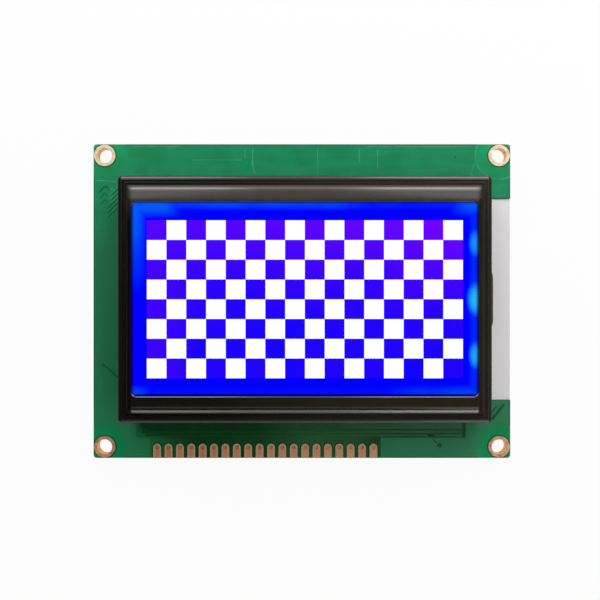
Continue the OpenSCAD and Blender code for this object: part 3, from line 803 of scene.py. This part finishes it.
NOTCH_GAP = 0.2
ROW_GAP = 0.35
CORNER_STEPS = 6
SLOT_Y = 20.5
SLOT_HALF = 2.45
SLOT_OUT = 0.95
ZONE_LEFT = -37.0
ZONE_RIGHT = 36.5
ZONE_LOW = -30.45
CHEVRON_PITCH = 1.05
BENT_W = 0.3
STRAIGHT_W = 0.24
RIB_W = 0.2
BOLD_RIB_W = 0.3
FAINT_RIB_W = 0.13
RIB_RISE = 0.02
RIB_INSET = 0.55
RIB_ASIDE = 0.3
VIA_R = 0.36
VIA_SLOPE = 0.06
VIA_MOUTH_R = 0.18
VIA_HOLE_R = 0.1
VIA_DIMPLE = 0.4
VIA_STEPS = 18
FRONT_VIA = (-42.3, 25.0)

# Narrow gaps in the front copper: width and path
FRONT_SLITS = (
    (0.4, ((-44.6, -14.0), (-41.0, -17.0))),
    (0.62, ((45.1, -23.0), (42.4, -26.4))),
    (0.42, ((43.5, -23.4), (42.0, -25.28))),
    (0.3, ((29.2, -30.8), (30.1, -31.7))),
)

# Round gaps in the front copper: radius and centre
FRONT_SPOTS = ((0.5, (30.7, -32.2)), (0.28, (34.2, 32.1)))

# Tracks between the bezel and the pads: width and path
FRONT_BUS = (
    (2.5, ((8.5, -27.3), (35.8, -27.3))),
    (0.66, ((-35.6, -29.15), (35.8, -29.15))),
    (0.42, ((-34.9, -29.95), (27.6, -29.95), (28.0, -30.2))),
    (0.5, ((29.6, -29.95), (35.8, -29.95))),
)


def disc_arc(side_x, side_y):
    """Edge of the copper round a mounting hole, from its meeting with one board edge to the other."""
    centre = (side_x * HOLE_X, side_y * HOLE_Y)
    reach = BOARD_HIGH.x - POUR_INSET - HOLE_X
    turn = math.degrees(math.asin(reach / DISC_R))
    middle = math.degrees(math.atan2(-side_y, -side_x))
    return arc(centre, DISC_R, middle - 45 - turn, middle + 45 + turn)


def bezel_path():
    """Outline of the bezel's foot with its clearance, in two runs: from its upper right end round to its
    lower left corner, and its lower right corner."""
    low_x, low_y = BEZEL_LOW.x - BEZEL_GAP, BEZEL_LOW.y - BEZEL_GAP
    high_x, high_y = BEZEL_HIGH.x + BEZEL_GAP, BEZEL_HIGH.y + BEZEL_GAP
    r = BEZEL_R + BEZEL_GAP
    path = arc((high_x - r, high_y - r), r, 0, 90, CORNER_STEPS)
    path += arc((low_x + r, high_y - r), r, 90, 180, CORNER_STEPS)
    for side in (1, -1):
        middle = CELL_MID.y + side * SLOT_Y
        upper, lower = middle + SLOT_HALF, middle - SLOT_HALF
        path += [(low_x, upper), (low_x - SLOT_OUT, upper), (low_x - SLOT_OUT, lower), (low_x, lower)]
    path += arc((low_x + r, low_y + r), r, 180, 270, CORNER_STEPS)
    return path, arc((high_x - r, low_y + r), r, 270, 360, CORNER_STEPS)


def front_outlines():
    """Outlines of the front copper. It stops short of the pads and of the tracks above them, so the lower
    right is an area of its own."""
    right = BOARD_HIGH.x - POUR_INSET
    bottom = BOARD_LOW.y + POUR_INSET
    foot = BEZEL_LOW.y - BEZEL_GAP
    beside = BEZEL_HIGH.x + BEZEL_GAP
    notch_top = LIP_HIGH.y + NOTCH_GAP
    notch_low = LIP_LOW.y - NOTCH_GAP
    row_left = PAD_X0 - PAD_PITCH / 2 - ROW_GAP
    row_right = PAD_X0 + PAD_PITCH * (PAD_COUNT - 0.5) + ROW_GAP
    round_bezel, corner = bezel_path()
    main = [(right, notch_top)]
    main += disc_arc(1, 1)[::-1] + disc_arc(-1, 1)[::-1] + disc_arc(-1, -1)[::-1]
    main += [(row_left, bottom), (row_left, ZONE_LOW), (ZONE_LEFT, ZONE_LOW), (ZONE_LEFT, foot)]
    main += round_bezel[::-1] + [(beside, notch_top)]
    lower = [(row_right, bottom)] + disc_arc(1, -1)[::-1]
    lower += [(right, notch_low), (beside, notch_low)] + corner[::-1]
    lower += [(ZONE_RIGHT, foot), (ZONE_RIGHT, ZONE_LOW), (row_right, ZONE_LOW)]
    return [main, lower]


def chevron_paths():
    """Paths at the upper left: short bent ones by the edge, and straight ones towards the bezel."""
    bent = [
        [(-45.3, 24.2), (-43.8, 25.7), (-43.2, 25.1)],
        [(-45.1, 22.9), (-44.0, 24.0), (-43.4, 23.4)],
        [(-44.9, 21.6), (-43.9, 22.6), (-43.5, 22.2)],
    ]
    straight = []
    for start, end, count in (((-43.3, 18.6), (-40.5, 21.4), 3), ((-42.5, 22.5), (-40.5, 24.5), 2)):
        for i in range(count):
            straight.append([(x, y + CHEVRON_PITCH * i) for x, y in (start, end)])
    return bent, straight


def front_slits():
    """Gaps in the front copper: the bent and straight ones at the upper left, a diagonal at the lower left,
    two at the bezel's lower right corner, the end of the lowest track and a spot at the upper right."""
    bent, straight = chevron_paths()
    gaps = [slit(path, BENT_W) for path in bent] + [slit(path, STRAIGHT_W) for path in straight]
    gaps += [slit(path, width) for width, path in FRONT_SLITS]
    gaps += [circle(centre, radius) for radius, centre in FRONT_SPOTS]
    return gaps


def front_bus(bm):
    """Long tracks between the bezel and the pads, and the wide one above them on the right."""
    for width, path in FRONT_BUS:
        add_track(bm, path, width, BOARD_HIGH.z - SUNK, COPPER_T)


def front_ribs(bm):
    """Fine tracks on the front, in three widths, whose pale mask is a painted highlight where they catch
    the light.
    """
    top = BOARD_HIGH.z + COPPER_T - SUNK
    edge_y = BOARD_HIGH.y - RIB_INSET
    bold = [disc_arc(1, 1), [(38.5, 31.0), (37.7, 27.8)]]
    plain = [
        [(-11.0, 34.0), (-11.0, 30.4), (-10.6, 28.6)],
        [(-46.0, 26.9), (-41.6, 26.7)],
        [(-38.0, -34.2), (-35.4, -34.2)],
    ]
    for path in chevron_paths()[1]:
        plain.append([(x - RIB_ASIDE, y + RIB_ASIDE) for x, y in path])
    faint = [
        [(-37.6, edge_y), (-27.5, edge_y)],
        [(14.5, edge_y), (37.8, edge_y)],
        [(-12.7, 33.8), (-12.7, 31.6)],
        [(-24.5, 31.45), (-13.4, 31.45)],
        [(3.5, 34.1), (3.5, 27.6)],
        [(12.8, 33.8), (12.8, 30.9)],
        [(16.9, 33.9), (16.9, 29.2)],
    ]
    for paths, width in ((bold, BOLD_RIB_W), (plain, RIB_W), (faint, FAINT_RIB_W)):
        for path in paths:
            add_track(bm, path, width, top, RIB_RISE)
    add_via(bm, FRONT_VIA, top, RIB_RISE)


# Tracks, solder and ink on the board's back

RESISTOR_Y = (RESISTORS_LOW.y + RESISTORS_HIGH.y) / 2
CAPACITOR_Y = (CAPACITORS_LOW.y + CAPACITORS_HIGH.y) / 2
CHIP_PITCH = 3.2
CHIP_W = 1.25
CHIP_HALF_L = 1.0
RESISTOR_COUNT = 5
CAPACITOR_COUNT = 3
CHIP_X0 = RESISTORS_HIGH.x - CHIP_W / 2 - (RESISTOR_COUNT - 1) * CHIP_PITCH
RESISTOR_XS = [CHIP_X0 + CHIP_PITCH * i for i in range(RESISTOR_COUNT)]
CAPACITOR_XS = RESISTOR_XS[:CAPACITOR_COUNT]
GLOBS = (CONTROLLER, DRIVER, (-DRIVER[0], *DRIVER[1:]))
UNDER_GLOB = 0.4
PAD_OVERLAP = 0.2
STUB_GAP = 0.2
SUPPLY_W = 0.7
SUPPLY_VIA_GAP = 1.0
RESISTOR_SUPPLY_Y = RESISTOR_Y - 2.6
CAPACITOR_SUPPLY_Y = CAPACITOR_Y + 2.4
LEAD_TRACK = ((33.2, -14.8), (33.2, -22.0), (30.4, -24.8), (30.4, -28.4), (24.6, -28.4))
LEAD_VIA = (23.7, -28.4)
SPARE_VIA_Y = 26.9

# Supply tracks on each side: x of both ends, and y
SUPPLY_TRACKS = ((10.0, 24.6, RESISTOR_SUPPLY_Y), (9.6, 18.4, CAPACITOR_SUPPLY_Y))

# Evenly spaced tracks and vias: place of the first one, and step to the next
PAD_TARGET_XS = (-8.0, 0.45)
FAR_PAD_TARGET_XS = (3.3, 0.5)
PAD_TURN_YS = (-27.6, -0.245)
FAR_PAD_TURN_YS = (-30.6, 0.3)
RESISTOR_TURN_YS = (-16.6, 0.8)
CAPACITOR_TURN_YS = (-9.9, -0.8)
LINK_START_XS = (DRIVER[0] + 3.0, -0.62)
LINK_TARGET_XS = (6.2, -0.58)
LINK_TURN_YS = (-2.3, 0.42)
SPARE_VIA_XS = (8.6, 1.1)

# Counts of them, and the first pads whose tracks end and turn with the far ones
LINK_COUNT = 10
SPARE_VIA_COUNT = 6
FAR_TARGET = 14
FAR_TURN = 12


def nth(run, i):
    """Place of one track or via of an evenly spaced run."""
    first, step = run
    return first + step * i


def rim_at_x(glob, x, side):
    """Point a little inside a glob's rim at a given x, on its upper or lower half."""
    reach = math.sqrt((glob[2] - UNDER_GLOB) ** 2 - (x - glob[0]) ** 2)
    return (x, glob[1] + side * reach)


def right_rim(glob, y):
    """Point a little inside a glob's rim at a given y, on its right half."""
    reach = math.sqrt((glob[2] - UNDER_GLOB) ** 2 - (y - glob[1]) ** 2)
    return (glob[0] + reach, y)


def both_sides(paths):
    """Paths on the right, and the same mirrored to the left."""
    return [[(side * x, y) for x, y in path] for side in (1, -1) for path in paths]


def pad_paths():
    """Tracks from the pads to the controller, nested so that none cross."""
    paths = []
    for i in range(PAD_COUNT):
        x = PAD_X0 + PAD_PITCH * i
        target = nth(PAD_TARGET_XS, i) if i < FAR_TARGET else nth(FAR_PAD_TARGET_XS, i - FAR_TARGET)
        level = nth(PAD_TURN_YS, i) if i < FAR_TURN else nth(FAR_PAD_TURN_YS, i - FAR_TURN)
        paths.append([(x, PADS_HIGH.y - PAD_OVERLAP), (x, level), (target, level),
                      rim_at_x(CONTROLLER, target, -1)])
    return paths


def chip_paths():
    """Tracks from the right side's chip parts to the controller, and their stubs towards the supply."""
    paths = []
    for xs, y, turns, supply_y, inward in (
            (RESISTOR_XS, RESISTOR_Y, RESISTOR_TURN_YS, RESISTOR_SUPPLY_Y, 1),
            (CAPACITOR_XS, CAPACITOR_Y, CAPACITOR_TURN_YS, CAPACITOR_SUPPLY_Y, -1)):
        for i, x in enumerate(xs):
            level = nth(turns, i)
            paths.append([(x, y + inward * CHIP_HALF_L), (x, level), right_rim(CONTROLLER, level)])
            paths.append([(x, y - inward * CHIP_HALF_L), (x, supply_y + inward * STUB_GAP)])
    return paths


def link_paths():
    """Tracks from the right driver to the controller."""
    paths = []
    for i in range(LINK_COUNT):
        start = rim_at_x(DRIVER, nth(LINK_START_XS, i), -1)
        target = rim_at_x(CONTROLLER, nth(LINK_TARGET_XS, i), 1)
        level = nth(LINK_TURN_YS, i)
        paths.append([start, (start[0], level), (target[0], level), target])
    return paths


FAN_COUNT = 24
FAN_PITCH = 0.48
FAN_VIA_PITCH = 0.8
FAN_START = 17.7
FAN_VIAS = (22.3, 23.4)


def fan_paths():
    """Tracks that spread from the right driver up to two rows of vias."""
    paths = []
    for i in range(FAN_COUNT):
        step = i - (FAN_COUNT - 1) / 2
        start = rim_at_x(DRIVER, DRIVER[0] + FAN_PITCH * step, 1)
        end_x = DRIVER[0] + FAN_VIA_PITCH * step
        turn = FAN_START + abs(end_x - start[0])
        paths.append([start, (start[0], FAN_START), (end_x, turn), (end_x, FAN_VIAS[i % 2])])
    return paths


def add_via(bm, centre, base, rise):
    """Ring of a covered via, with its dimple."""
    profile = [(VIA_HOLE_R, base), (VIA_HOLE_R, base + rise * VIA_DIMPLE), (VIA_MOUTH_R, base + rise),
               (VIA_R - VIA_SLOPE, base + rise), (VIA_R, base)]
    add_lathe(bm, centre, profile, VIA_STEPS)


def back_tracks(bm):
    """All tracks and vias of the back."""
    base = BOARD_LOW.z + SUNK
    fans = fan_paths()
    fine = pad_paths() + both_sides(chip_paths() + link_paths() + fans)
    wide = both_sides([[(start, y), (end, y)] for start, end, y in SUPPLY_TRACKS]) + [LEAD_TRACK]
    for paths, width in ((fine, TRACK_W), (wide, SUPPLY_W)):
        for path in paths:
            add_track(bm, path, width, base, -COPPER_T)
    vias = [path[-1] for path in fans]
    vias += [(end + SUPPLY_VIA_GAP, y) for _, end, y in SUPPLY_TRACKS]
    vias += [(nth(SPARE_VIA_XS, i), SPARE_VIA_Y) for i in range(SPARE_VIA_COUNT)]
    right, left = both_sides([vias])
    for centre in right + left + [LEAD_VIA]:
        add_via(bm, centre, base, -COPPER_T - RIB_RISE)


BACK_TOP_Y = 28.2
BACK_LEFT_X = -41.0
BACK_LOW_X = 19.0
BACK_LOW_Y = -29.6


def back_outlines():
    """Outlines of the back copper: along the top, down the left and at the lower right."""
    low_x, low_y = BOARD_LOW.x + POUR_INSET, BOARD_LOW.y + POUR_INSET
    high_y = BOARD_HIGH.y - POUR_INSET
    clear_x = HOLE_X - DISC_R
    clear_y = HOLE_Y - DISC_R
    top = [(-clear_x, high_y), (-clear_x, BACK_TOP_Y), (clear_x, BACK_TOP_Y), (clear_x, high_y)]
    left = [(low_x, clear_y), (low_x, -clear_y), (BACK_LEFT_X, -clear_y), (BACK_LEFT_X, clear_y)]
    lower = [(BACK_LOW_X, low_y), (clear_x, low_y), (clear_x, BACK_LOW_Y), (BACK_LOW_X, BACK_LOW_Y)]
    return [top, left, lower]


def chips():
    """Centre and height of every chip part."""
    rows = ((RESISTOR_XS, RESISTOR_Y, -RESISTORS_LOW.z), (CAPACITOR_XS, CAPACITOR_Y, -CAPACITORS_LOW.z))
    return [(side * x, y, height) for side in (1, -1) for xs, y, height in rows for x in xs]


# Section of a solder fillet: half width, distance outwards from the chip's end, and depth as a share of the
# chip's height plus a length
FILLET = (
    (0.62, -0.1, 0.0, 0.0),
    (0.78, 0.85, 0.0, 0.0),
    (0.76, 0.82, 0.0, 0.05),
    (0.66, 0.36, 0.0, 0.14),
    (0.58, 0.12, 0.3, 0.1),
    (0.52, -0.02, 0.8, 0.0),
    (0.52, -0.1, 0.5, 0.0),
)


def add_fillet(bm, x, y, side, height):
    """Solder between a chip's end cap and its pad."""
    base = BOARD_LOW.z + SUNK
    rings = []
    for half, out, share, depth in FILLET:
        level = base - share * height - depth
        rings.append([bm.verts.new((x + edge * half, y + side * out, level)) for edge in (-1, 1)])
    for first, second in zip(rings, rings[1:] + rings[:1]):
        bm.faces.new((first[0], first[1], second[1], second[0]))
    for end in (0, 1):
        bm.faces.new([ring[end] for ring in rings])


def back_solder(bm):
    """Solder at both ends of every chip part."""
    for x, y, height in chips():
        for end in (1, -1):
            add_fillet(bm, x, y + end * CHIP_HALF_L, end, height)


INK_W = 0.22
INK_T = 0.02
INK_GAP = 0.55
INK_STEPS = 96
BAR_ASIDE = 1.05
BAR_HALF = 1.5


def back_ink(bm):
    """Printed rings round the globs, and bars on both sides of the chip parts."""
    face = BOARD_LOW.z - COPPER_T + SUNK - INK_T
    for x, y, radius in GLOBS:
        inner = radius + INK_GAP
        outer = inner + INK_W
        ring = [(inner, BOARD_LOW.z), (inner, face), (outer, face), (outer, BOARD_LOW.z)]
        add_lathe(bm, (x, y), ring, INK_STEPS)
    for x, y, _ in chips():
        for edge in (-1, 1):
            bar_x = x + edge * BAR_ASIDE
            add_track(bm, [(bar_x, y - BAR_HALF), (bar_x, y + BAR_HALF)], INK_W, BOARD_LOW.z, -INK_T)


# Floor, lamps and camera

PHOTO_SIDE = 600
PHOTO_CENTRE = (301.9, 301.1)
PX_PER_MM = 4.48
CAMERA_ABOVE = 125.0
SENSOR = 36.0
FLOOR_SIDE = 6000.0
BOX_W = 560.0
SIDE_BOX_W = 230.0
SIDE_BOX_X = 155.0
SWEEP_RISE = (0.05, 0.42)
STUDIO_LEVEL = 0.06
FLOOR_LEVEL = 0.94
CLIP_START = 10.0

# Soft boxes: name, y, z, height, radiance over the whole width, and what is added at the left and the right
SOFT_BOXES = (
    ("soft_top", 114, 300, 22, 0.125, 0.12, 0.15),
    ("soft_near", 190, 257, 154, 0.64, 0.75, 1.0),
    ("soft_mid", 270, 172, 86, 0.9, 1.7, 2.3),
    ("far_strip", 312, 98, 86, 1.6, 3.4, 3.9),
    ("low_strip", -295, 22, 42, 1.2, 1.1, 4.6),
    ("low_soft", -225, 245, 76, 0.4, 0.1, 0.1),
)

# Fill lights: name, place, size and radiance
FILL_BOXES = (
    ("low_right", (210, -250, 170), (240, 220), 0.8),
    ("left_fill", (-330, 60, 200), (360, 360), 0.4),
    ("right_fill", (330, -30, 200), (360, 360), 0.9),
)


def floor_finish():
    """White floor that keeps a soft shadow."""
    f = Finish("floor_white", Base_Color=srgb(246, 246, 246), Roughness=0.9, Specular_IOR_Level=0.1)
    path = f.add("LightPath")
    seen = f.calc("MAXIMUM", path.outputs["Is Camera Ray"], path.outputs["Is Glossy Ray"])
    seen = f.calc("MAXIMUM", seen, path.outputs["Is Transmission Ray"])
    white = f.add("Emission")
    f.show(f.times(seen, FLOOR_LEVEL), f.shader, white)
    return f.material


def add_floor():
    """Floor under the lowest point of the part."""
    half = FLOOR_SIDE / 2 * MM
    level = cad_box[0].z
    mesh = bpy.data.meshes.new("floor")
    corners = [(-half, -half, level), (half, -half, level), (half, half, level), (-half, half, level)]
    mesh.from_pydata(corners, [], [(0, 1, 2, 3)])
    mesh.materials.append(floor_finish())
    floor = new_object("floor", mesh)


def add_lamp(name, place, size, radiance):
    """Soft box that faces the display, with its brightness as radiance."""
    data = bpy.data.lights.new(name, "AREA")
    data.shape = "RECTANGLE"
    data.size = size[0] * MM
    data.size_y = size[1] * MM
    data.energy = radiance * math.pi * data.size * data.size_y
    lamp = new_object(name, data)
    lamp.location = Vector(place) * MM
    lamp.rotation_euler = (Vector((0, 0, 0)) - lamp.location).to_track_quat("-Z", "Y").to_euler()


def add_world():
    """Dim studio with a white sweep behind the edge of the floor."""
    world = bpy.data.worlds.new("studio")
    world.use_nodes = True
    tree = world.node_tree
    background = tree.nodes["Background"]
    background.inputs["Color"].default_value = (1, 1, 1, 1)
    coords = tree.nodes.new("ShaderNodeTexCoord")
    split = tree.nodes.new("ShaderNodeSeparateXYZ")
    fade = tree.nodes.new("ShaderNodeMapRange")
    fade.interpolation_type = "SMOOTHSTEP"
    for socket, value in zip(fade.inputs[1:], (*SWEEP_RISE, 1.0, STUDIO_LEVEL)):
        socket.default_value = value
    tree.links.new(coords.outputs["Generated"], split.inputs[0])
    tree.links.new(split.outputs["Z"], fade.inputs["Value"])
    tree.links.new(fade.outputs[0], background.inputs["Strength"])
    bpy.context.scene.world = world


def add_camera():
    """Camera straight above the board, placed so that its middle falls where the photograph shows it."""
    data = bpy.data.cameras.new("camera")
    data.sensor_width = SENSOR
    data.lens = PX_PER_MM * SENSOR * CAMERA_ABOVE / PHOTO_SIDE
    data.clip_start = CLIP_START * MM
    camera = new_object("camera", data)
    middle = PHOTO_SIDE / 2
    x = (middle - PHOTO_CENTRE[0]) / PX_PER_MM
    y = (PHOTO_CENTRE[1] - middle) / PX_PER_MM
    camera.location = Vector((x, y, BOARD_HIGH.z + CAMERA_ABOVE)) * MM
    bpy.context.scene.camera = camera


# Dress the solids

dress(board_finish(), "circuit_board")
dress(plating_finish(), "hole_eyelets")
dress(pad_finish(), "edge_pads")
dress(bezel_finish(), "metal_bezel")
dress(clear_finish("polariser_clear", srgb(20, 20, 60)), "front_polariser", "rear_polariser")
dress(clear_finish("glass_clear", srgb(40, 60, 60)), "front_glass", "rear_glass")
dress(crystal_finish("seal_resin_blue"), "cell_seal")
dress(crystal_finish("crystal_blue"), "liquid_crystal")
dress(lit_finish(), "lit_dots")
dress(idle_finish(), "idle_dots")
dress(plastic_finish("film_white", srgb(244, 244, 242), srgb(232, 232, 230), 0.6),
      "diffuser_sheet", "reflector_sheet")
dress(guide_finish(), "light_guide")
dress(plastic_finish("tray_plastic", srgb(253, 250, 250), srgb(246, 243, 244), 0.45), "backlight_tray")
dress(plastic_finish("strip_mask", srgb(236, 236, 228), srgb(222, 222, 212), 0.4), "led_board")
dress(diode_finish(), "backlight_leds")
tin_plate = metal_finish("tin_plate", srgb(214, 214, 210), srgb(172, 172, 170), 0.32)
dress(tin_plate, "backlight_leads", "lead_solder", "chip_end_caps")
dress(strip_finish(), "upper_contact_strip", "lower_contact_strip")
dress(glob_finish(), "controller_glob", "left_driver_glob", "right_driver_glob")
dress(chip_finish("resistor_glaze", srgb(34, 34, 36), srgb(18, 18, 20), 0.3), "chip_resistors")
dress(chip_finish("capacitor_ceramic", srgb(190, 152, 112), srgb(164, 124, 88), 0.5), "chip_capacitors")

# Add the copper, the tracks, the solder and the ink

pour_mask = copper_mask_finish("mask_on_copper", MASK_POUR, MASK_POUR_SHADE)
# Pale mask of the fine tracks, a painted highlight
highlight_mask = copper_mask_finish("mask_on_track_painted_highlight", MASK_PAINTED_HIGHLIGHT, MASK_POUR)
ink = plastic_finish("ink_white", srgb(228, 230, 222), srgb(206, 210, 200), 0.6)
solder = metal_finish("solder_bright", srgb(206, 206, 204), srgb(160, 160, 160), 0.26)
make_plate("front_copper", front_outlines() + front_slits(), BOARD_HIGH.z - SUNK, COPPER_T,
           pour_mask)
make_plate("back_copper", back_outlines(), BOARD_LOW.z + SUNK, -COPPER_T, pour_mask)
track_pieces = (
    ("front_bus", front_bus, bus_finish(), "solder_mask"),
    ("front_tracks", front_ribs, highlight_mask, "solder_mask"),
    ("back_tracks", back_tracks, pour_mask, "solder_mask"),
    ("back_solder", back_solder, solder, "tinned_metal"),
    ("back_ink", back_ink, ink, "tray_white"),
)
for name, build, finish, slot in track_pieces:
    shape = bmesh.new()
    build(shape)
    make_piece(name, shape, finish)

# Light the scene

add_floor()
for name, y, z, height, middle, left, right in SOFT_BOXES:
    add_lamp(name, (0, y, z), (BOX_W, height), middle)
    add_lamp(name + "_left", (-SIDE_BOX_X, y, z), (SIDE_BOX_W, height), left)
    add_lamp(name + "_right", (SIDE_BOX_X, y, z), (SIDE_BOX_W, height), right)
for box in FILL_BOXES:
    add_lamp(*box)
add_world()
add_camera()
bpy.context.scene.view_settings.view_transform = "Standard"
